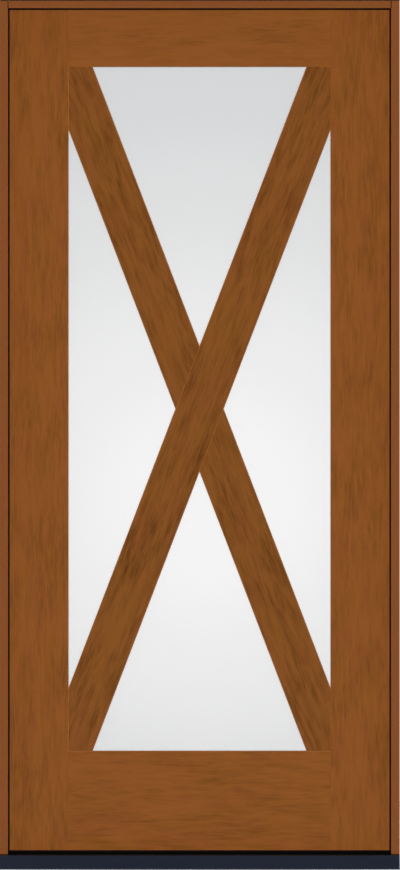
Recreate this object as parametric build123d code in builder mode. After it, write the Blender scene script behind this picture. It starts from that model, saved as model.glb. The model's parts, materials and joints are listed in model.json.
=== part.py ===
from build123d import *
import os
from math import atan2, degrees, hypot, radians, tan

# Glazed entrance door: a wooden leaf with crossed bars over an insulating glass unit,
# hung on butt hinges in a rebated wooden frame that stands on a dark sill.
# Millimetres. X runs to the right seen from outside, Y towards the room, Z up.
# The origin is the middle of the sill's flat underside.

os.makedirs("parts", exist_ok=True)

# Overall unit
unit_width = 952.5
unit_height = 2070.0
frame_depth = 116.0

# Frame section: a thin leg behind, and a stop in front that the leaf closes towards
leg_thickness = 11.0
stop_projection = 9.0
stop_ease = 2.5
kerf_width = 2.6
kerf_depth = 8.0

# Clearances
running_gap = 5.2
seal_gap = 5.0
head_joint_gap = 0.9
barb_clearance = 0.1
glass_clearance = 1.5
bead_clearance = 0.2
pocket_clearance = 0.2
tenon_clearance = 0.1
tenon_end_gap = 1.5
pin_clearance = 0.06
knuckle_gap = 0.4

# Black weatherstrip on the stops, and the seal on the sill
strip_thickness = 6.5
strip_reveal = 3.5
strip_round = 2.5
seal_height = 9.8
seal_round = 4.0
seal_kerf_width = 3.0
seal_kerf_depth = 4.0

# Sill
ridge_height = 33.6
ridge_width = 12.5
saddle_height = 30.0
deck_slope = 1.0
deck_wall = 2.5
nose_projection = 27.0
nose_round = 4.0

# Leaf
leaf_thickness = 44.5
stile_width = 147.6
top_rail_height = 142.4
bottom_rail_height = 240.7
lock_bevel_angle = 3.0
arris = 1.2
tenon_length = 45.0
tenon_thickness = 15.0
tenon_shoulder = 20.0
sweep_base = 1.6
sweep_fin_height = 2.4
sweep_fin_width = 2.0
sweep_width = 32.0
sweep_end_inset = 4.0
sweep_fins = 3

# Glazing
rabbet_width = 12.0
glass_thickness = 3.2
glass_space = 12.7
spacer_width = 6.0
spacer_inset = 2.5
bead_chamfer = 3.0

# Crossed bars, bonded to both faces of the glass
bar_width = 107.4
bar_setback = 1.0
bar_chamfer = 2.0

# Hinges
hinge_height = 102.0
hinge_top_drop = 178.0
hinge_bottom_rise = 279.0
plate_thickness = 2.3
plate_depth = 38.0
plate_corner = 16.0
barrel_radius = 6.0
barrel_standoff = 8.0
knuckle_count = 5
pin_radius = 3.5
pin_head_height = 3.0
pin_head_chamfer = 1.6

# Places across the unit
outer_x = unit_width / 2
leg_x = outer_x - leg_thickness
stop_x = leg_x - stop_projection
strip_x = stop_x - strip_reveal
leaf_x = leg_x - running_gap
lite_x = leaf_x - stile_width
rabbet_x = lite_x + rabbet_width

# Places through the unit, from outside to the room
front_y = -frame_depth / 2
back_y = frame_depth / 2
leaf_front_y = back_y - leaf_thickness
leaf_middle_y = (leaf_front_y + back_y) / 2
strip_back_y = leaf_front_y - seal_gap
stop_back_y = strip_back_y - strip_thickness
nose_y = front_y - nose_projection
ridge_back_y = strip_back_y
ridge_front_y = ridge_back_y - ridge_width

# The glass unit lies in the middle of the leaf, with equal recesses on both faces
glass_unit = 2 * glass_thickness + glass_space
recess = (leaf_thickness - glass_unit) / 2
outer_glass_y = leaf_front_y + recess
spacer_y = outer_glass_y + glass_thickness
inner_glass_y = spacer_y + glass_space
bead_y = inner_glass_y + glass_thickness

# Heights
head_leg_z = unit_height - leg_thickness
head_stop_z = head_leg_z - stop_projection
leaf_top_z = head_leg_z - running_gap
leaf_bottom_z = saddle_height + running_gap + sweep_base + sweep_fin_height
leaf_height = leaf_top_z - leaf_bottom_z
lite_top_z = leaf_top_z - top_rail_height
lite_bottom_z = leaf_bottom_z + bottom_rail_height
lite_height = lite_top_z - lite_bottom_z
lite_z = (lite_top_z + lite_bottom_z) / 2
nose_z = ridge_height - (ridge_front_y - nose_y) * tan(radians(deck_slope))
top_tenon = (lite_top_z + rabbet_width + tenon_shoulder, leaf_top_z - tenon_shoulder)
bottom_tenon = (leaf_bottom_z + tenon_shoulder, lite_bottom_z - rabbet_width - tenon_shoulder)

# Hinge line, in the middle of the gap between leaf and frame
axis_x = -(leg_x + leaf_x) / 2
axis_y = back_y + barrel_standoff
plate_start_y = back_y - plate_depth
knuckle_length = (hinge_height - (knuckle_count - 1) * knuckle_gap) / knuckle_count
top_hinge_z = leaf_top_z - hinge_top_drop - hinge_height / 2
bottom_hinge_z = leaf_bottom_z + hinge_bottom_rise + hinge_height / 2
hinge_places = {
    "top": top_hinge_z,
    "middle": (top_hinge_z + bottom_hinge_z) / 2,
    "bottom": bottom_hinge_z,
}

# Sill outline from the nose over the ridge to the room side
sill_points = [
    (nose_y, 0),
    (nose_y, nose_z),
    (ridge_front_y, ridge_height),
    (ridge_back_y, ridge_height),
    (ridge_back_y, saddle_height),
    (back_y, saddle_height),
    (back_y, 0),
]


def save(piece, name):
    piece.part.label = name
    export_step(piece.part, f"parts/{name}.step")


# Frame


def side_jamb(side, name, hinge_heights):
    """An upright of the frame, shaped at its foot to sit on the sill."""
    with BuildPart() as jamb:
        with BuildSketch() as section:
            with BuildLine():
                Polyline(
                    (side * outer_x, front_y),
                    (side * stop_x, front_y),
                    (side * stop_x, stop_back_y),
                    (side * leg_x, stop_back_y),
                    (side * leg_x, back_y),
                    (side * outer_x, back_y),
                    close=True,
                )
            make_face()
            fillet(section.vertices().sort_by_distance((side * stop_x, front_y, 0))[0], stop_ease)
            with Locations((side * (leg_x - kerf_width / 2), stop_back_y - kerf_depth / 2)):
                Rectangle(kerf_width, kerf_depth, mode=Mode.SUBTRACT)
        extrude(amount=unit_height)
        with BuildSketch(Plane.YZ):
            with BuildLine():
                Polyline(*sill_points, close=True)
            make_face()
        extrude(amount=unit_width, both=True, mode=Mode.SUBTRACT)
        for height in hinge_heights:
            with BuildSketch(Plane.YZ.offset(side * leg_x)) as pocket:
                with Locations((back_y, height)):
                    Rectangle(
                        2 * (plate_depth + pocket_clearance),
                        hinge_height + 2 * pocket_clearance,
                    )
                fillet(pocket.vertices(), plate_corner)
            extrude(amount=side * plate_thickness, mode=Mode.SUBTRACT)
    save(jamb, name)


def head_jamb():
    """The top of the frame, between the uprights, with an open joint line at each end of its stop."""
    with BuildPart() as head:
        with BuildSketch(Plane.YZ) as stop:
            with Locations(((front_y + stop_back_y) / 2, (head_stop_z + unit_height) / 2)):
                Rectangle(stop_back_y - front_y, unit_height - head_stop_z)
            fillet(stop.vertices().sort_by_distance((front_y, head_stop_z, 0))[0], stop_ease)
            with Locations((stop_back_y - kerf_depth / 2, head_leg_z - kerf_width / 2)):
                Rectangle(kerf_depth, kerf_width, mode=Mode.SUBTRACT)
        extrude(amount=stop_x - head_joint_gap, both=True)
        with BuildSketch(Plane.YZ):
            with Locations(((stop_back_y + back_y) / 2, (head_leg_z + unit_height) / 2)):
                Rectangle(back_y - stop_back_y, leg_thickness)
        extrude(amount=leg_x, both=True)
    save(head, "head_jamb")


def side_weatherstrip(side, name):
    """A black strip pressed into the kerf behind a side stop."""
    with BuildPart() as strip:
        with BuildSketch(Plane.XY.offset(ridge_height)) as section:
            with Locations((side * (leg_x + strip_x) / 2, (stop_back_y + strip_back_y) / 2)):
                Rectangle(leg_x - strip_x, strip_thickness)
            inner_corners = section.vertices().sort_by(Axis.X, reverse=side > 0)[-2:]
            fillet(inner_corners, strip_round)
            barb_width = kerf_width - 2 * barb_clearance
            barb_depth = kerf_depth - barb_clearance
            with Locations((side * (leg_x - kerf_width / 2), stop_back_y - barb_depth / 2)):
                Rectangle(barb_width, barb_depth)
        extrude(amount=head_leg_z - ridge_height)
    save(strip, name)


def head_weatherstrip():
    """The strip behind the head's stop, between the two side strips."""
    with BuildPart() as strip:
        with BuildSketch(Plane.YZ) as section:
            low_z = head_stop_z - strip_reveal
            with Locations(((stop_back_y + strip_back_y) / 2, (low_z + head_leg_z) / 2)):
                Rectangle(strip_thickness, head_leg_z - low_z)
            fillet(section.vertices().sort_by(Axis.Y)[:2], strip_round)
            barb_width = kerf_width - 2 * barb_clearance
            barb_depth = kerf_depth - barb_clearance
            with Locations((stop_back_y - barb_depth / 2, head_leg_z - kerf_width / 2)):
                Rectangle(barb_depth, barb_width)
        extrude(amount=strip_x, both=True)
    save(strip, "weatherstrip_head")


def sill():
    """A composite core under a dark metal deck, with a kerf for the seal in its ridge."""
    core_points = [
        (nose_y + deck_wall, 0),
        (nose_y + deck_wall, nose_z - deck_wall),
        (ridge_front_y, ridge_height - deck_wall),
        (ridge_front_y, saddle_height - deck_wall),
        (back_y - deck_wall, saddle_height - deck_wall),
        (back_y - deck_wall, 0),
    ]
    core_nose_round = nose_round - deck_wall
    with BuildPart() as core:
        with BuildSketch(Plane.YZ) as core_section:
            with BuildLine():
                Polyline(*core_points, close=True)
            make_face()
            fillet(core_section.vertices().sort_by_distance((*core_points[1], 0))[0], core_nose_round)
        extrude(amount=outer_x, both=True)
    save(core, "sill_core")

    with BuildPart() as deck:
        with BuildSketch(Plane.YZ) as deck_section:
            with BuildLine():
                Polyline(*sill_points, close=True)
            make_face()
            fillet(deck_section.vertices().sort_by_distance((*sill_points[1], 0))[0], nose_round)
            room_edge = deck_section.vertices().sort_by_distance((back_y, saddle_height, 0))[0]
            chamfer(room_edge, deck_wall)
            kerf_y = (ridge_front_y + ridge_back_y) / 2
            with Locations((kerf_y, ridge_height - seal_kerf_depth / 2)):
                Rectangle(seal_kerf_width, seal_kerf_depth, mode=Mode.SUBTRACT)
        extrude(amount=outer_x, both=True)
        add(core.part, mode=Mode.SUBTRACT)
    save(deck, "sill_deck")


def sill_seal():
    """The black bumper seal on the sill's ridge, in front of the leaf's foot."""
    middle_y = (ridge_front_y + ridge_back_y) / 2
    with BuildPart() as seal:
        with BuildSketch(Plane.YZ) as section:
            with Locations((middle_y, ridge_height + seal_height / 2)):
                Rectangle(ridge_width, seal_height)
            fillet(section.vertices().sort_by(Axis.Y)[-2:], seal_round)
            barb_depth = seal_kerf_depth - barb_clearance
            with Locations((middle_y, ridge_height - barb_depth / 2)):
                Rectangle(seal_kerf_width - 2 * barb_clearance, barb_depth)
        extrude(amount=strip_x, both=True)
    save(seal, "sill_seal")


# Leaf


def stile(side, name, bevel_angle, hinge_heights):
    """An upright of the leaf, rebated along the glass and mortised for the rails."""
    bevel = leaf_thickness * tan(radians(bevel_angle))
    with BuildPart() as upright:
        with BuildSketch(Plane.XY.offset(leaf_bottom_z)):
            with BuildLine():
                Polyline(
                    (side * lite_x, leaf_front_y),
                    (side * (leaf_x - bevel), leaf_front_y),
                    (side * leaf_x, back_y),
                    (side * lite_x, back_y),
                    close=True,
                )
            make_face()
        extrude(amount=leaf_height)
        chamfer(upright.edges().filter_by(Axis.Z), arris)
        with BuildSketch(Plane.XZ.offset(-back_y)):
            with Locations((side * (lite_x + rabbet_x) / 2, lite_z)):
                Rectangle(rabbet_width, lite_height + 2 * rabbet_width)
        extrude(amount=leaf_thickness - recess, mode=Mode.SUBTRACT)
        for low_z, high_z in (bottom_tenon, top_tenon):
            with BuildSketch(Plane.YZ.offset(side * lite_x)):
                with Locations((leaf_middle_y, (low_z + high_z) / 2)):
                    Rectangle(
                        tenon_thickness + 2 * tenon_clearance,
                        high_z - low_z + 2 * tenon_clearance,
                    )
            extrude(amount=side * (tenon_length + tenon_end_gap), mode=Mode.SUBTRACT)
        for height in hinge_heights:
            with BuildSketch(Plane.YZ.offset(side * leaf_x)) as pocket:
                with Locations((back_y, height)):
                    Rectangle(
                        2 * (plate_depth + pocket_clearance),
                        hinge_height + 2 * pocket_clearance,
                    )
                fillet(pocket.vertices(), plate_corner)
            extrude(amount=-side * plate_thickness, mode=Mode.SUBTRACT)
    save(upright, name)


def rail(name, away, lite_edge_z, outer_z, tenon):
    """A cross piece of the leaf, tenoned into the stiles; away points from the glass."""
    rabbet_z = lite_edge_z + away * rabbet_width
    tenon_low_z, tenon_high_z = tenon
    with BuildPart() as cross:
        with BuildSketch(Plane.YZ) as section:
            with BuildLine():
                Polyline(
                    (leaf_front_y, lite_edge_z),
                    (leaf_front_y, outer_z),
                    (back_y, outer_z),
                    (back_y, rabbet_z),
                    (outer_glass_y, rabbet_z),
                    (outer_glass_y, lite_edge_z),
                    close=True,
                )
            make_face()
            chamfer(section.vertices().sort_by_distance((leaf_front_y, lite_edge_z, 0))[0], arris)
        extrude(amount=lite_x, both=True)
        with BuildSketch(Plane.YZ):
            with Locations((leaf_middle_y, (tenon_low_z + tenon_high_z) / 2)):
                Rectangle(tenon_thickness, tenon_high_z - tenon_low_z)
        extrude(amount=lite_x + tenon_length, both=True)
    save(cross, name)


def glass_pane(name, outside_y):
    """One sheet of the insulating glass unit."""
    with BuildPart() as pane:
        with BuildSketch(Plane.XZ.offset(-outside_y)):
            with Locations((0, lite_z)):
                Rectangle(
                    2 * (rabbet_x - glass_clearance),
                    lite_height + 2 * (rabbet_width - glass_clearance),
                )
        extrude(amount=-glass_thickness)
    save(pane, name)


def glass_spacer():
    """The ring that holds the two sheets apart, hidden in the rabbet."""
    ring_width = 2 * (rabbet_x - glass_clearance - spacer_inset)
    ring_height = lite_height + 2 * (rabbet_width - glass_clearance - spacer_inset)
    with BuildPart() as ring:
        with BuildSketch(Plane.XZ.offset(-spacer_y)):
            with Locations((0, lite_z)):
                Rectangle(ring_width, ring_height)
                Rectangle(
                    ring_width - 2 * spacer_width,
                    ring_height - 2 * spacer_width,
                    mode=Mode.SUBTRACT,
                )
        extrude(amount=-glass_space)
    save(ring, "glass_spacer")


def glazing_bead(name, inner_a, inner_b, outer_b, outer_a):
    """A mitred bead that holds the glass from the room side."""
    middle = ((inner_a[0] + inner_b[0]) / 2, back_y, (inner_a[1] + inner_b[1]) / 2)
    with BuildPart() as bead:
        with BuildSketch(Plane.XZ.offset(-bead_y)):
            with BuildLine():
                Polyline(inner_a, inner_b, outer_b, outer_a, close=True)
            make_face()
        extrude(amount=bead_y - back_y)
        room_face = bead.faces().sort_by(Axis.Y)[-1]
        chamfer(room_face.edges().sort_by_distance(middle)[0], bead_chamfer)
    save(bead, name)


def glazing_beads():
    outer_x_edge = rabbet_x - bead_clearance
    outer_top_z = lite_top_z + rabbet_width - bead_clearance
    outer_bottom_z = lite_bottom_z - rabbet_width + bead_clearance
    inner = [
        (-lite_x, lite_bottom_z),
        (lite_x, lite_bottom_z),
        (lite_x, lite_top_z),
        (-lite_x, lite_top_z),
    ]
    outer = [
        (-outer_x_edge, outer_bottom_z),
        (outer_x_edge, outer_bottom_z),
        (outer_x_edge, outer_top_z),
        (-outer_x_edge, outer_top_z),
    ]
    names = ["bottom", "lock_side", "top", "hinge_side"]
    for index, place in enumerate(names):
        after = (index + 1) % len(names)
        glazing_bead(f"glazing_bead_{place}", inner[index], inner[after], outer[after], outer[index])


def crossed_bars(prefix, glass_face_y, outwards):
    """One long bar and two half bars that butt against it, on one face of the glass."""
    tilt = degrees(atan2(lite_height, 2 * lite_x))
    strip_length = 2 * hypot(2 * lite_x, lite_height)
    bar_thickness = recess - bar_setback
    room_side = outwards < 0

    with BuildPart() as long_bar:
        with BuildSketch(Plane.XZ.offset(-glass_face_y)):
            with Locations((0, lite_z)):
                Rectangle(2 * lite_x, lite_height)
                Rectangle(strip_length, bar_width, rotation=tilt, mode=Mode.INTERSECT)
        extrude(amount=outwards * bar_thickness)
        face = long_bar.faces().sort_by(Axis.Y, reverse=room_side)[0]
        chamfer(face.edges().sort_by(SortBy.LENGTH)[-2:], bar_chamfer)
    save(long_bar, f"{prefix}_bar_long")

    for place, rise in (("upper", Align.MIN), ("lower", Align.MAX)):
        with BuildPart() as half_bar:
            with BuildSketch(Plane.XZ.offset(-glass_face_y)):
                with Locations((0, lite_z)):
                    Rectangle(2 * lite_x, lite_height / 2, align=(Align.CENTER, rise))
                    Rectangle(strip_length, bar_width, rotation=-tilt, mode=Mode.INTERSECT)
                    Rectangle(strip_length, bar_width, rotation=tilt, mode=Mode.SUBTRACT)
            extrude(amount=outwards * bar_thickness)
            face = half_bar.faces().sort_by(Axis.Y, reverse=room_side)[0]
            chamfer(face.edges().sort_by(SortBy.LENGTH)[-2:], bar_chamfer)
        save(half_bar, f"{prefix}_bar_{place}")


def door_sweep():
    """The finned strip under the leaf."""
    base_z = leaf_bottom_z - sweep_base
    fin_pitch = (sweep_width - sweep_fin_width) / (sweep_fins - 1)
    half_length = leaf_x - leaf_thickness * tan(radians(lock_bevel_angle)) - sweep_end_inset
    with BuildPart() as sweep_strip:
        with BuildSketch(Plane.YZ):
            with Locations((leaf_middle_y, leaf_bottom_z - sweep_base / 2)):
                Rectangle(sweep_width, sweep_base)
            with Locations((leaf_middle_y, base_z - sweep_fin_height / 2)):
                with GridLocations(fin_pitch, 0, sweep_fins, 1):
                    Rectangle(sweep_fin_width, sweep_fin_height)
        extrude(amount=half_length, both=True)
    save(sweep_strip, "door_sweep")


# Hinges


def hinge_plate(name, face_x, into, knuckles, centre_z):
    """A flush plate and the knuckles it carries round the pin."""
    low_z = centre_z - hinge_height / 2
    with BuildPart() as plate:
        with BuildSketch(Plane.YZ.offset(face_x)) as outline:
            with Locations(((plate_start_y + back_y) / 2, centre_z)):
                Rectangle(plate_depth, hinge_height)
            fillet(outline.vertices().sort_by(Axis.X)[:2], plate_corner)
        extrude(amount=into * plate_thickness)
        for index in knuckles:
            knuckle_z = low_z + index * (knuckle_length + knuckle_gap)
            with BuildSketch(Plane.XY.offset(knuckle_z)):
                with Locations((axis_x, axis_y)):
                    Circle(barrel_radius)
                with Locations((face_x + into * plate_thickness / 2, (back_y + axis_y) / 2)):
                    Rectangle(plate_thickness, barrel_standoff)
            extrude(amount=knuckle_length)
        with BuildSketch(Plane.XY.offset(low_z)):
            with Locations((axis_x, axis_y)):
                Circle(pin_radius + pin_clearance)
        extrude(amount=hinge_height, mode=Mode.SUBTRACT)
    save(plate, name)


def hinge_pin(name, centre_z):
    """The pin, with a bevelled head above the barrel and a bevelled tip below it."""
    low_z = centre_z - hinge_height / 2
    high_z = centre_z + hinge_height / 2
    with BuildPart() as pin:
        with BuildSketch(Plane.XY.offset(low_z)):
            with Locations((axis_x, axis_y)):
                Circle(pin_radius)
        extrude(amount=hinge_height)
        with BuildSketch(Plane.XY.offset(high_z)):
            with Locations((axis_x, axis_y)):
                Circle(barrel_radius)
        extrude(amount=pin_head_height)
        with BuildSketch(Plane.XY.offset(low_z)):
            with Locations((axis_x, axis_y)):
                Circle(barrel_radius)
        extrude(amount=-pin_head_height)
        rims = pin.edges().filter_by(GeomType.CIRCLE).sort_by(Axis.Z)
        chamfer([rims[0], rims[-1]], pin_head_chamfer)
    save(pin, name)


def hinges():
    frame_knuckles = range(0, knuckle_count, 2)
    leaf_knuckles = range(1, knuckle_count, 2)
    for place, centre_z in hinge_places.items():
        hinge_plate(f"hinge_frame_plate_{place}", -leg_x, -1, frame_knuckles, centre_z)
        hinge_plate(f"hinge_door_plate_{place}", -leaf_x, 1, leaf_knuckles, centre_z)
        hinge_pin(f"hinge_pin_{place}", centre_z)


side_jamb(-1, "hinge_jamb", hinge_places.values())
side_jamb(1, "strike_jamb", [])
head_jamb()
side_weatherstrip(-1, "weatherstrip_hinge_side")
side_weatherstrip(1, "weatherstrip_strike_side")
head_weatherstrip()
sill()
sill_seal()
stile(-1, "hinge_stile", 0, hinge_places.values())
stile(1, "lock_stile", lock_bevel_angle, [])
rail("top_rail", 1, lite_top_z, leaf_top_z, top_tenon)
rail("bottom_rail", -1, lite_bottom_z, leaf_bottom_z, bottom_tenon)
glass_pane("outer_glass", outer_glass_y)
glass_spacer()
glass_pane("inner_glass", inner_glass_y)
glazing_beads()
crossed_bars("outer", outer_glass_y, 1)
crossed_bars("inner", bead_y, -1)
door_sweep()
hinges()
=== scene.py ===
import json
from math import atan2, cos, pi, sin

import bmesh
import bpy
from mathutils import Matrix, Vector


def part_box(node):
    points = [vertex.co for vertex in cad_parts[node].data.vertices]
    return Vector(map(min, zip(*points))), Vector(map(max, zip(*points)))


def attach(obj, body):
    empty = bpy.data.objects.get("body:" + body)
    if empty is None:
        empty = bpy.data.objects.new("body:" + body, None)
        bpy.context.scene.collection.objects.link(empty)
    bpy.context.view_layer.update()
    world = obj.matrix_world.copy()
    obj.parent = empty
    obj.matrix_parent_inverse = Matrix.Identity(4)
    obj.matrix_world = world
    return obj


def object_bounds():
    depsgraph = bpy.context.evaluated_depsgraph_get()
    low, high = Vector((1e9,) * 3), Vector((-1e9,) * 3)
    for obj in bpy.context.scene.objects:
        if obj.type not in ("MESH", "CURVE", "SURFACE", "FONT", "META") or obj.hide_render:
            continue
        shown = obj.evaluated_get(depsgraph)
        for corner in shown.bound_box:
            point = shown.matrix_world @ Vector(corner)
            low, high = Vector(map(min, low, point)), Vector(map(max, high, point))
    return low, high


# Looks of a glazed entrance door: stained wood with grain along every board, clear and etched
# glass, black seals, a slate sill and bronze hinges. Metres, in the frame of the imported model.

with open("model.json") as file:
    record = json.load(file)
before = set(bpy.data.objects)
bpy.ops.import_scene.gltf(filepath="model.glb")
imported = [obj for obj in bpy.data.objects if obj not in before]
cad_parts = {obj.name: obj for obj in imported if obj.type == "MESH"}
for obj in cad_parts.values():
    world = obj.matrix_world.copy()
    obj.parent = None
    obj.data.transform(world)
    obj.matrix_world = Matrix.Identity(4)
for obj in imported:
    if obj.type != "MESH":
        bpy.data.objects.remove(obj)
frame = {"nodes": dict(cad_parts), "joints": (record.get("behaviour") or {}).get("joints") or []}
cad_low, cad_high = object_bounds()
nodes = frame["nodes"]
scene = bpy.context.scene


# Places read from the frame

FRONT_TOLERANCE = 0.001


def front_face(node):
    """The corners of a frame board's front face, as points."""
    points = [vertex.co for vertex in nodes[node].data.vertices]
    front = min(point.y for point in points)
    return [point for point in points if point.y < front + FRONT_TOLERANCE]


bar_low, bar_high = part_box("outer_bar_long")
glass_bottom, glass_top = bar_low.z, bar_high.z
upright_face = front_face("strike_jamb")
face_y = min(point.y for point in upright_face)
foot_z = min(point.z for point in upright_face)
upright_edge_x = min(point.x for point in upright_face)
head_edge_x = max(point.x for point in front_face("head_jamb"))
head_joint_x = (upright_edge_x + head_edge_x) / 2
head_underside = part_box("head_jamb")[0].z
sill_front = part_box("sill_deck")[0].y
seal_low, seal_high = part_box("sill_seal")

# Grain directions, as angles in the door's plane
UPRIGHT = pi / 2
LEVEL = 0.0
RISING = atan2(bar_high.z - bar_low.z, bar_high.x - bar_low.x)
FALLING = pi - RISING


# Shader maths


class Wire:
    """A node socket for use in Python sums: each operator adds a Math node to its tree."""

    def __init__(self, tree, socket=None):
        self.tree = tree
        self.socket = socket

    def node(self, kind, settings=None, sockets=None, output=0):
        """A new node: its settings come first, then the values or links of its sockets."""
        made = self.tree.nodes.new(kind)
        for name, value in (settings or {}).items():
            setattr(made, name, value)
        for name, value in (sockets or {}).items():
            if isinstance(value, Wire):
                self.tree.links.new(value.socket, made.inputs[name])
            else:
                made.inputs[name].default_value = value
        return Wire(self.tree, made.outputs[output] if made.outputs else None)

    def math(self, operation, first, second):
        return self.node("ShaderNodeMath", {"operation": operation}, {0: first, 1: second})

    def __add__(self, other):
        return self.math("ADD", self, other)

    def __radd__(self, other):
        return self.math("ADD", other, self)

    def __sub__(self, other):
        return self.math("SUBTRACT", self, other)

    def __rsub__(self, other):
        return self.math("SUBTRACT", other, self)

    def __mul__(self, other):
        return self.math("MULTIPLY", self, other)

    def __rmul__(self, other):
        return self.math("MULTIPLY", other, self)

    def __abs__(self):
        return self.math("ABSOLUTE", self, 0.0)

    def vector(self, operation, other):
        """A sum or product of two vectors, part by part."""
        return self.node("ShaderNodeVectorMath", {"operation": operation}, {0: self, 1: other})

    def noise(self, per_metre, detail, roughness=0.5):
        """Soft noise over a place, with a number of blobs per metre along each axis."""
        place = self.vector("MULTIPLY", per_metre)
        sockets = {"Vector": place, "Scale": 1.0, "Detail": detail, "Roughness": roughness}
        return self.node("ShaderNodeTexNoise", None, sockets)

    def step(self, low, high):
        """A smooth step from 0 at the low value to 1 at the high one."""
        settings = {"interpolation_type": "SMOOTHSTEP"}
        return self.node("ShaderNodeMapRange", settings, {"Value": self, "From Min": low, "From Max": high})

    def between(self, first, second):
        """A colour between two, with this wire as the share of the second."""
        return self.node("ShaderNodeMix", {"data_type": "RGBA"}, {0: self, 6: first, 7: second}, 2)

    def part(self, axis):
        """One part of a vector, by the letter of its axis."""
        return self.node("ShaderNodeSeparateXYZ", None, {"Vector": self}, axis)

    def bump(self, strength, depth):
        """A surface normal that rises with this wire."""
        return self.node("ShaderNodeBump", None, {"Strength": strength, "Distance": depth, "Height": self})


def new_finish(name):
    """An empty material, and the place on the object as a wire."""
    material = bpy.data.materials.new(name)
    material.use_nodes = True
    material.node_tree.nodes.clear()
    place = Wire(material.node_tree).node("ShaderNodeTexCoord", output="Object")
    return material, place


def end_finish(place, sockets):
    """Closes a finish with one Principled surface."""
    surface = place.node("ShaderNodeBsdfPrincipled", None, sockets)
    place.node("ShaderNodeOutputMaterial", None, {"Surface": surface})


def tone(red, green, blue):
    """A linear colour from the 0 to 255 values of a display."""

    def linear(value):
        share = value / 255
        return share / 12.92 if share <= 0.04045 else ((share + 0.055) / 1.055) ** 2.4

    return (linear(red), linear(green), linear(blue), 1.0)


# Finishes

# Stains: the dark of the figure, then the golden and the russet of the ground
LEAF_STAIN = (tone(84, 47, 3), tone(136, 80, 30), tone(137, 78, 33))
# The top rail's stain is painted lighter than the leaf's, as painted light against the shade under the head
TOP_RAIL_PAINTED_LIGHT_STAIN = (tone(86, 48, 3), tone(138, 82, 32), tone(139, 80, 35))
BAR_STAIN = (tone(80, 41, 0), tone(128, 77, 28), tone(129, 75, 30))
FRAME_STAIN = (tone(86, 49, 19), tone(127, 73, 32), tone(129, 72, 34))

# How strongly the figure shows in the wood
LEAF_FIGURE = 0.38
# The top rail's figure is weaker, as painted light against the shade under the head
TOP_RAIL_PAINTED_LIGHT_FIGURE = 0.3
BAR_FIGURE = 0.55
FRAME_FIGURE = 0.1

# How far the pattern moves from one board to the next
BOARD_SHIFT = (3.7, 1.3, 2.1)

# Painted highlights on the small slanted edges of the boards, strongest on the hinge stile
HINGE_EDGE_PAINTED_HIGHLIGHT = tone(184, 118, 62)
BAR_EDGE_PAINTED_HIGHLIGHT = tone(168, 104, 50)
EDGE_PAINTED_HIGHLIGHT = tone(160, 95, 38)
EDGE_BLUR = 0.002

# Painted shade lines on the frame's face, along its joints
JOINT_PAINTED_SHADE = tone(58, 30, 9)
LINE_WIDTH = 0.0036
LINE_BLUR = 0.0005
JOINT_WIDTH = 0.0018

# Painted shade on the sill's deck, which starts behind its nose, darkens towards the seal and fades out
# behind it
SEAL_PAINTED_SHADE = tone(9, 9, 10)
PAINTED_SHADE_START = 0.02
PAINTED_SHADE_FADE = 0.004


def stained_wood(name, grain_angle, board, stain, figure, edge, painted_shade_lines=None):
    """Stained wood with its grain at an angle in the door's plane.

    The board number moves the pattern, figure sets how strongly it shows, and edge is the
    painted highlight on the small slanted edges beside the glass.
    Lines, where a board has them, is a function that gives 1 where shade is painted along the joints.
    """
    material, place = new_finish(name)
    settings = {"rotation_type": "Y_AXIS"}
    turned = place.node("ShaderNodeVectorRotate", settings, {"Vector": place, "Angle": grain_angle})
    grain = turned.vector("ADD", [board * shift for shift in BOARD_SHIFT])
    fibre = grain.noise((15, 160, 160), 5, 0.65)
    cluster = grain.noise((6, 20, 20), 4, 0.55).step(0.35, 0.7)
    streak = grain.noise((22, 220, 220), 4, 0.62).step(0.38, 0.66)
    ripple = grain.noise((12, 85, 85), 3)
    hue = grain.noise((8, 26, 26), 3).step(0.35, 0.65)
    pores = grain.noise((45, 950, 950), 3).step(0.58, 0.72)
    shade = 0.25 * cluster + streak * (0.3 + 0.7 * cluster) + pores * 0.3
    shade = shade + (0.5 - fibre) * 1.2 + (0.5 - ripple) * 2.2
    dark, golden, russet = stain
    body = (shade * figure).between(hue.between(golden, russet), dark)
    relief = fibre * 0.5 - pores
    # Painted highlight: the small slanted edges are coloured lighter than the faces
    edges = beside_glass(place).between(EDGE_PAINTED_HIGHLIGHT, edge)
    surface = slanted_edges(place).between(body, edges)
    # Painted shade along the frame's joints, where a board has it
    if painted_shade_lines:
        surface = painted_shade_lines(place).between(surface, JOINT_PAINTED_SHADE)
    end_finish(place, {
        "Base Color": surface,
        "Roughness": 0.5 - (fibre - 0.5) * 0.2 + pores * 0.1,
        "Specular IOR Level": 0.4,
        "Normal": relief.bump(0.12, 0.0004),
    })
    return material


def slanted_edges(place):
    """1 on the small slanted edges of a board, and 0 on its faces and ends.

    The normal's share towards the front or back is 0.7 on such an edge.
    """
    facing = abs(place.node("ShaderNodeTexCoord", output="Normal").part("Y"))
    return facing.step(0.4, 0.6) - facing.step(0.8, 0.95)


def beside_glass(place):
    """1 at the heights of the glass opening, and 0 along the rails above and below it."""
    height = place.part("Z")
    from_bottom = height.step(glass_bottom - EDGE_BLUR, glass_bottom)
    from_top = height.step(glass_top, glass_top + EDGE_BLUR)
    return from_bottom - from_top


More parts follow.
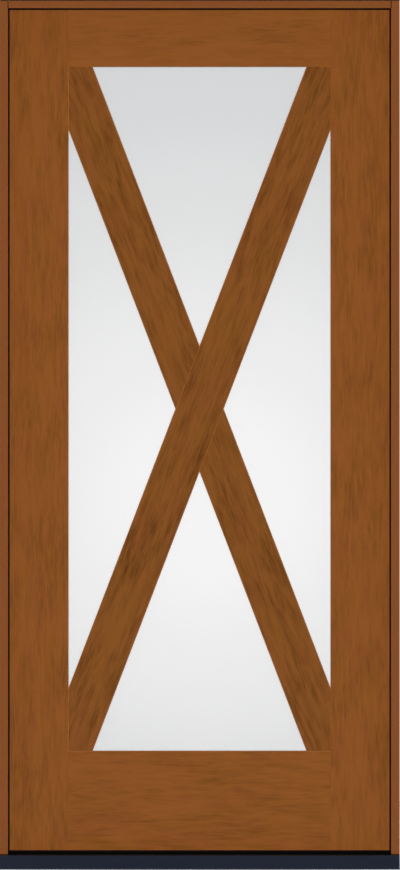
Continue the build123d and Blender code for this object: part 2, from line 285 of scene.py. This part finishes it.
def painted_joint_shade(place):
    """1 on the painted shade lines of the frame's face, and 0 beside them.

    They run along the top edge, down both ends of the head and along the uprights' feet.
    """
    height = place.part("Z")
    across = abs(place.part("X"))
    top = height.step(cad_high.z - LINE_WIDTH, cad_high.z - LINE_WIDTH + LINE_BLUR)
    feet = 1 - height.step(foot_z + LINE_WIDTH - LINE_BLUR, foot_z + LINE_WIDTH)
    inner = head_joint_x - JOINT_WIDTH / 2
    outer = head_joint_x + JOINT_WIDTH / 2
    ends = across.step(inner - LINE_BLUR, inner) - across.step(outer, outer + LINE_BLUR)
    ends = ends * height.step(head_underside, head_underside + LINE_BLUR)
    face = 1 - place.part("Y").step(face_y + LINE_WIDTH / 2, face_y + LINE_WIDTH)
    return (top + feet + ends) * face


def pin_filler(name):
    """Brown filler over the pins of the beads."""
    material, place = new_finish(name)
    speck = place.noise((1500, 1500, 1500), 2)
    end_finish(place, {
        "Base Color": speck.between(tone(92, 52, 18), tone(110, 64, 24)),
        "Roughness": 0.7 + (speck - 0.5) * 0.2,
        "Specular IOR Level": 0.3,
    })
    return material


def black_rubber(name):
    """Matt black seal with a fine moulded skin."""
    material, place = new_finish(name)
    skin = place.noise((900, 900, 900), 2)
    streak = place.noise((60, 60, 25), 3)
    end_finish(place, {
        "Base Color": streak.between(tone(2, 2, 2), tone(5, 4, 4)),
        "Roughness": 0.65 + (skin - 0.5) * 0.2,
        "Specular IOR Level": 0.2,
        "Normal": skin.bump(0.1, 0.0002),
    })
    return material


def slate_paint(name):
    """Dark slate coating with a fine sanded texture, with painted shade darkening it towards the seal."""
    material, place = new_finish(name)
    grit = place.noise((1400, 1400, 1400), 3)
    cloud = place.noise((9, 26, 26), 4)
    slate = cloud.between(tone(29, 33, 45), tone(37, 41, 53))
    depth = place.part("Y")
    # Painted shade: the deck darkens from behind its nose to the seal's front and fades out behind the seal
    from_nose = depth.step(sill_front + PAINTED_SHADE_START, seal_low.y)
    from_seal = depth.step(seal_high.y, seal_high.y + PAINTED_SHADE_FADE)
    end_finish(place, {
        "Base Color": (from_nose - from_seal).between(slate, SEAL_PAINTED_SHADE),
        "Roughness": 0.75 + (grit - 0.5) * 0.25,
        "Specular IOR Level": 0.1,
        "Normal": grit.bump(0.15, 0.0003),
    })
    return material


def composite_core(name):
    """Dark grey composite with pale flecks, seen at the sill's ends and underneath."""
    material, place = new_finish(name)
    flecks = place.noise((420, 420, 420), 2).step(0.6, 0.72)
    end_finish(place, {
        "Base Color": flecks.between(tone(58, 56, 54), tone(96, 92, 86)),
        "Roughness": 0.8 - flecks * 0.1,
        "Normal": flecks.bump(0.2, 0.0003),
    })
    return material


def bronze(name):
    """Dark bronze plating, brushed along the hinge."""
    material, place = new_finish(name)
    brushed = place.noise((1800, 1800, 60), 3)
    cloud = place.noise((45, 45, 30), 3)
    end_finish(place, {
        "Base Color": cloud.between(tone(84, 66, 50), tone(116, 92, 68)),
        "Metallic": 0.9,
        "Roughness": 0.34 + (brushed - 0.5) * 0.22,
        "Normal": brushed.bump(0.08, 0.0002),
    })
    return material


def mill_aluminium(name):
    """Plain aluminium of the spacer between the glass sheets."""
    material, place = new_finish(name)
    drawn = place.noise((700, 700, 40), 2)
    end_finish(place, {
        "Base Color": drawn.between(tone(168, 170, 172), tone(190, 192, 194)),
        "Metallic": 1.0,
        "Roughness": 0.38 + (drawn - 0.5) * 0.2,
    })
    return material


def clear_glass(name):
    """Clear outer sheet, with the faint unevenness of float glass."""
    material, place = new_finish(name)
    wave = place.noise((6, 6, 2), 2)
    end_finish(place, {
        "Base Color": tone(252, 252, 252),
        "Roughness": 0.02,
        "Transmission Weight": 1.0,
        "IOR": 1.5,
        "Normal": wave.bump(0.02, 0.001),
    })
    return material


def satin_glass(name):
    """Etched inner sheet that blurs what is behind it."""
    material, place = new_finish(name)
    etch = place.noise((2600, 2600, 2600), 2)
    end_finish(place, {
        "Base Color": tone(250, 250, 250),
        "Roughness": 0.3 + (etch - 0.5) * 0.06,
        "Transmission Weight": 1.0,
        "IOR": 1.45,
    })
    return material


def pale_floor(name):
    """Plain pale studio floor."""
    material, place = new_finish(name)
    cloud = place.noise((0.8, 0.8, 0.8), 2)
    end_finish(place, {
        "Base Color": cloud.between(tone(215, 216, 218), tone(220, 221, 223)),
        "Roughness": 0.85,
        "Specular IOR Level": 0.2,
    })
    return material


# Dressing the nodes

# Each kind of wood has its stain, its figure, the painted highlight on its edges and any painted shade
# lines
LEAF_WOOD = (LEAF_STAIN, LEAF_FIGURE, EDGE_PAINTED_HIGHLIGHT)
HINGE_STILE_WOOD = (LEAF_STAIN, LEAF_FIGURE, HINGE_EDGE_PAINTED_HIGHLIGHT)
# The top rail's wood is painted lighter, against the shade under the head
TOP_RAIL_PAINTED_LIGHT_WOOD = (TOP_RAIL_PAINTED_LIGHT_STAIN, TOP_RAIL_PAINTED_LIGHT_FIGURE, EDGE_PAINTED_HIGHLIGHT)
BAR_WOOD = (BAR_STAIN, BAR_FIGURE, BAR_EDGE_PAINTED_HIGHLIGHT)
FRAME_WOOD = (FRAME_STAIN, FRAME_FIGURE, EDGE_PAINTED_HIGHLIGHT, painted_joint_shade)

boards = {
    "hinge_stile": (UPRIGHT, HINGE_STILE_WOOD),
    "lock_stile": (UPRIGHT, LEAF_WOOD),
    "top_rail": (LEVEL, TOP_RAIL_PAINTED_LIGHT_WOOD),
    "bottom_rail": (LEVEL, LEAF_WOOD),
    "glazing_bead_bottom": (LEVEL, LEAF_WOOD),
    "glazing_bead_top": (LEVEL, LEAF_WOOD),
    "glazing_bead_hinge_side": (UPRIGHT, LEAF_WOOD),
    "glazing_bead_lock_side": (UPRIGHT, LEAF_WOOD),
    "outer_bar_long": (RISING, BAR_WOOD),
    "outer_bar_upper": (FALLING, BAR_WOOD),
    "outer_bar_lower": (FALLING, BAR_WOOD),
    "inner_bar_long": (RISING, BAR_WOOD),
    "inner_bar_upper": (FALLING, BAR_WOOD),
    "inner_bar_lower": (FALLING, BAR_WOOD),
    "hinge_jamb": (UPRIGHT, FRAME_WOOD),
    "strike_jamb": (UPRIGHT, FRAME_WOOD),
    "head_jamb": (LEVEL, FRAME_WOOD),
}
seals = (
    "weatherstrip_hinge_side",
    "weatherstrip_strike_side",
    "weatherstrip_head",
    "sill_seal",
    "door_sweep",
)
hinges = ("top", "middle", "bottom")


def dress(node, material):
    """Puts a finish on a node, in place of its plain one."""
    for slot in nodes[node].material_slots:
        slot.material = material


for board, (node, (grain_angle, wood)) in enumerate(boards.items(), 1):
    dress(node, stained_wood(f"stained_{node}", grain_angle, board, *wood))
rubber = black_rubber("black_rubber")
for node in seals:
    dress(node, rubber)
dress("sill_deck", slate_paint("slate_paint"))
dress("sill_core", composite_core("composite_core"))
dress("glass_spacer", mill_aluminium("mill_aluminium"))
dress("outer_glass", clear_glass("clear_glass"))
dress("inner_glass", satin_glass("satin_glass"))
hinge_bronze = bronze("hinge_bronze")
for hinge in hinges:
    for piece in ("frame_plate", "door_plate", "pin"):
        dress(f"hinge_{piece}_{hinge}", hinge_bronze)


# Screws and pins

SCREW_SIDES = 24
SCREW_RADIUS = 0.0042
SCREW_RISE = 0.0004
CROWN_RADIUS = SCREW_RADIUS * 0.82

# The cross recess narrows towards its floor
RECESS_DEPTH = 0.0011
RECESS_ARM = 0.0024
RECESS_HALF_WIDTH = 0.00055
RECESS_FLOOR_ARM = RECESS_ARM * 0.6
RECESS_FLOOR_HALF_WIDTH = RECESS_HALF_WIDTH * 0.8

# Screws stand in two rows in front of the pivot, by turns, at heights from the hinge's middle
SCREW_HEIGHTS = (-0.038, -0.0125, 0.0125, 0.038)
SCREW_ROWS = (0.02, 0.037)
FIRST_TURN = 0.3
NEXT_TURN = 0.7

# A pin's filled head is a dome of rings, with the share of its radius and of its rise for each
PIN_SIDES = 14
PIN_RADIUS = 0.0016
PIN_RISE = 0.00015
PIN_DOME = ((1.0, 0.0), (0.7, 0.7), (0.3, 1.0))
PIN_SPACING = 0.22
PIN_FROM_END = 0.055
BEAD_FACE = 0.009


def circle(radius, count):
    """The corners of a round outline."""
    return [(radius * cos(2 * pi * k / count), radius * sin(2 * pi * k / count)) for k in range(count)]


def cross(arm, half):
    """The outline of a plus sign."""
    quarter = [(half, half), (half, arm), (-half, arm)]
    points = []
    for _ in range(4):
        points += quarter
        quarter = [(-y, x) for x, y in quarter]
    return points


def ring(mesh, matrix, outline, height):
    """The vertices of an outline at a height over a part's foot."""
    return [mesh.verts.new(matrix @ Vector((x, y, height))) for x, y in outline]


def band(mesh, lower, upper):
    """Joins two rings of the same count with a band of faces."""
    for k in range(len(lower)):
        mesh.faces.new((lower[k - 1], lower[k], upper[k], upper[k - 1]))


def seated(place, outward, turn):
    """The matrix that puts a small part at a place with its top towards a direction."""
    upright = outward.to_track_quat("Z", "Y").to_matrix().to_4x4()
    return Matrix.Translation(place) @ upright @ Matrix.Rotation(turn, 4, "Z")


def screw_head(mesh, matrix):
    """A low round head with a cross recess."""
    recess = cross(RECESS_ARM, RECESS_HALF_WIDTH)
    recess_floor = cross(RECESS_FLOOR_ARM, RECESS_FLOOR_HALF_WIDTH)
    foot = ring(mesh, matrix, circle(SCREW_RADIUS, SCREW_SIDES), 0.0)
    crown = ring(mesh, matrix, circle(CROWN_RADIUS, SCREW_SIDES), SCREW_RISE)
    mouth = ring(mesh, matrix, recess, SCREW_RISE)
    bottom = ring(mesh, matrix, recess_floor, SCREW_RISE - RECESS_DEPTH)
    band(mesh, foot, crown)
    band(mesh, bottom, mouth)
    mesh.faces.new(bottom)
    rim = [mesh.edges.get((loop[k - 1], loop[k])) for loop in (crown, mouth) for k in range(len(loop))]
    bmesh.ops.triangle_fill(mesh, use_beauty=True, edges=rim)


def pin_cap(mesh, matrix):
    """The filled head of a small pin, a shallow dome."""
    rings = []
    for across, up in PIN_DOME:
        rings.append(ring(mesh, matrix, circle(PIN_RADIUS * across, PIN_SIDES), PIN_RISE * up))
    for lower, upper in zip(rings, rings[1:]):
        band(mesh, lower, upper)
    mesh.faces.new(rings[-1])


def add_piece(name, mesh, material, body):
    """Adds a finished mesh to the scene as a piece that rides on a body."""
    bmesh.ops.recalc_face_normals(mesh, faces=mesh.faces)
    data = bpy.data.meshes.new(name)
    mesh.to_mesh(data)
    mesh.free()
    data.materials.append(material)
    piece = bpy.data.objects.new(name, data)
    scene.collection.objects.link(piece)
    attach(piece, body)


def hinge_screws(hinge):
    """Four screws in each plate of a hinge, on the faces that meet when the door is shut."""
    pivot_x, pivot_y, _ = frame["joints"][0]["pos_m"]
    low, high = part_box(f"hinge_pin_{hinge}")
    middle_z = (low.z + high.z) / 2
    leaf_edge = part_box("hinge_stile")[0].x
    frame_edge = 2 * pivot_x - leaf_edge
    for side, edge, outward in (("frame", frame_edge, 1), ("leaf", leaf_edge, -1)):
        mesh = bmesh.new()
        for k, height in enumerate(SCREW_HEIGHTS):
            place = Vector((edge, pivot_y - SCREW_ROWS[k % 2], middle_z + height))
            screw_head(mesh, seated(place, Vector((outward, 0, 0)), FIRST_TURN + NEXT_TURN * k))
        add_piece(f"screws_{side}_{hinge}", mesh, hinge_bronze, side)


def bead_pins():
    """Filled pins along the four glazing beads, on the room side."""
    mesh = bmesh.new()
    inset = BEAD_FACE / 2
    for side in ("bottom", "top", "hinge_side", "lock_side"):
        low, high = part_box(f"glazing_bead_{side}")
        level = side in ("bottom", "top")
        start, end = (low.x, high.x) if level else (low.z, high.z)
        count = round((end - start) / PIN_SPACING) + 1
        pinned = end - start - 2 * PIN_FROM_END
        for k in range(count):
            along = start + PIN_FROM_END + pinned * k / (count - 1)
            if level:
                place = Vector((along, high.y, low.z + inset if side == "bottom" else high.z - inset))
            else:
                place = Vector((low.x + inset if side == "hinge_side" else high.x - inset, high.y, along))
            pin_cap(mesh, seated(place, Vector((0, 1, 0)), 0.0))
    add_piece("bead_pins", mesh, pin_filler("pin_filler"), "leaf")


for hinge in hinges:
    hinge_screws(hinge)
bead_pins()


# Studio

# The camera's picture, with the column of the door's middle and the row of the sill's underside
IMAGE_WIDTH = 400
IMAGE_HEIGHT = 870
DOOR_MIDDLE_COLUMN = 199.53
SILL_BASE_ROW = 869.0
PIXEL = 0.0023807
LENS = 760.0
SENSOR = 36.0
VIEW_DEPTH = 200.0

# Softboxes, far from the door and aimed at its middle
LIGHT_TARGET = (0.0, 0.0, 1.03)
FRONT_PLACE = (0.0, -16.0, 1.7)
FRONT_SIZE = 3.2
FRONT_POWER = 2280
SIDE_ASIDE = 14.0
SIDE_BEHIND = 6.5
SIDE_HEIGHT = 6.5
SIDE_SIZE = 5.2
SIDE_POWER = 1600
WHITE = (1.0, 1.0, 1.0)

# Discs of light behind the glass, one behind another, with the radius of each and its brightness
GLOW_DISCS = {0.3: 0.106, 0.6: 0.128, 0.9: 0.096, 1.2: 0.036}
GLOW_COLOUR = (1.0, 0.968, 0.928)
GLOW_ASIDE = 0.03
GLOW_DISTANCE = 1.95
GLOW_STAGGER = 0.05
GLOW_HEIGHT = 0.86

# The room's light comes from overhead, and the backdrop is what the eye sees
ROOM_DIM = (0.09, 0.09, 0.09, 1.0)
ROOM_BRIGHT = (1.0, 1.0, 1.0, 1.0)
OVERHEAD_START = 0.55
BACKDROP = (0.73, 0.738, 0.748, 1.0)
FLOOR_HALF = 8.0


def add_light(name, place, target, size, power, colour=WHITE, shine=True):
    """A round soft light; one without shine doesn't show in glossy surfaces or through the glass."""
    data = bpy.data.lights.new(name, "AREA")
    data.shape = "DISK"
    data.size = size
    data.energy = power
    data.color = colour
    lamp = bpy.data.objects.new(name, data)
    lamp.location = place
    lamp.rotation_euler = (Vector(target) - Vector(place)).to_track_quat("-Z", "Y").to_euler()
    lamp.visible_camera = False
    lamp.visible_glossy = shine
    lamp.visible_transmission = shine
    scene.collection.objects.link(lamp)


def add_glow(radius, brightness):
    """One of the discs of light behind the glass."""
    place = (GLOW_ASIDE, GLOW_DISTANCE + GLOW_STAGGER * radius, GLOW_HEIGHT)
    target = (GLOW_ASIDE, 0.0, GLOW_HEIGHT)
    power = brightness * pi * pi * radius ** 2
    add_light(f"glass_glow_{radius}", place, target, 2 * radius, power, GLOW_COLOUR)


def add_floor():
    """A pale floor that throws no light back up at the door."""
    mesh = bpy.data.meshes.new("studio_floor")
    corners = [(x * FLOOR_HALF, y * FLOOR_HALF, 0) for x, y in ((-1, -1), (1, -1), (1, 1), (-1, 1))]
    mesh.from_pydata(corners, [], [(0, 1, 2, 3)])
    mesh.materials.append(pale_floor("pale_floor"))
    floor = bpy.data.objects.new("studio_floor", mesh)
    floor.visible_diffuse = False
    scene.collection.objects.link(floor)


def add_world():
    """A room lit from overhead, with a plain grey backdrop."""
    world = bpy.data.worlds.new("studio")
    world.use_nodes = True
    world.node_tree.nodes.clear()
    start = Wire(world.node_tree)
    upwards = start.node("ShaderNodeTexCoord", output="Generated").part("Z")
    glow = upwards.step(OVERHEAD_START, 1.0).between(ROOM_DIM, ROOM_BRIGHT)
    seen = start.node("ShaderNodeLightPath", output="Is Camera Ray")
    through = start.node("ShaderNodeLightPath", output="Is Transmission Ray")
    shown = (seen + through).between(glow, BACKDROP)
    light = start.node("ShaderNodeBackground", None, {"Color": shown, "Strength": 1.0})
    start.node("ShaderNodeOutputWorld", None, {"Surface": light})
    scene.world = world


def add_camera():
    """A camera square to the door, far off with a long lens."""
    distance = PIXEL * IMAGE_HEIGHT * LENS / SENSOR
    aside = (IMAGE_WIDTH / 2 - DOOR_MIDDLE_COLUMN) * PIXEL
    height = (SILL_BASE_ROW - IMAGE_HEIGHT / 2) * PIXEL
    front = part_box("hinge_jamb")[0].y
    data = bpy.data.cameras.new("camera")
    data.lens = LENS
    data.sensor_width = SENSOR
    data.clip_end = VIEW_DEPTH
    camera = bpy.data.objects.new("camera", data)
    camera.location = (aside, front - distance, height)
    camera.rotation_euler = (pi / 2, 0, 0)
    scene.collection.objects.link(camera)
    scene.camera = camera


add_light("front_softbox", FRONT_PLACE, LIGHT_TARGET, FRONT_SIZE, FRONT_POWER, shine=False)
for name, side in (("left_softbox", -1), ("right_softbox", 1)):
    place = (side * SIDE_ASIDE, SIDE_BEHIND, SIDE_HEIGHT)
    add_light(name, place, LIGHT_TARGET, SIDE_SIZE, SIDE_POWER)
for radius, brightness in GLOW_DISCS.items():
    add_glow(radius, brightness)
add_floor()
add_world()
add_camera()
scene.view_settings.view_transform = "Standard"
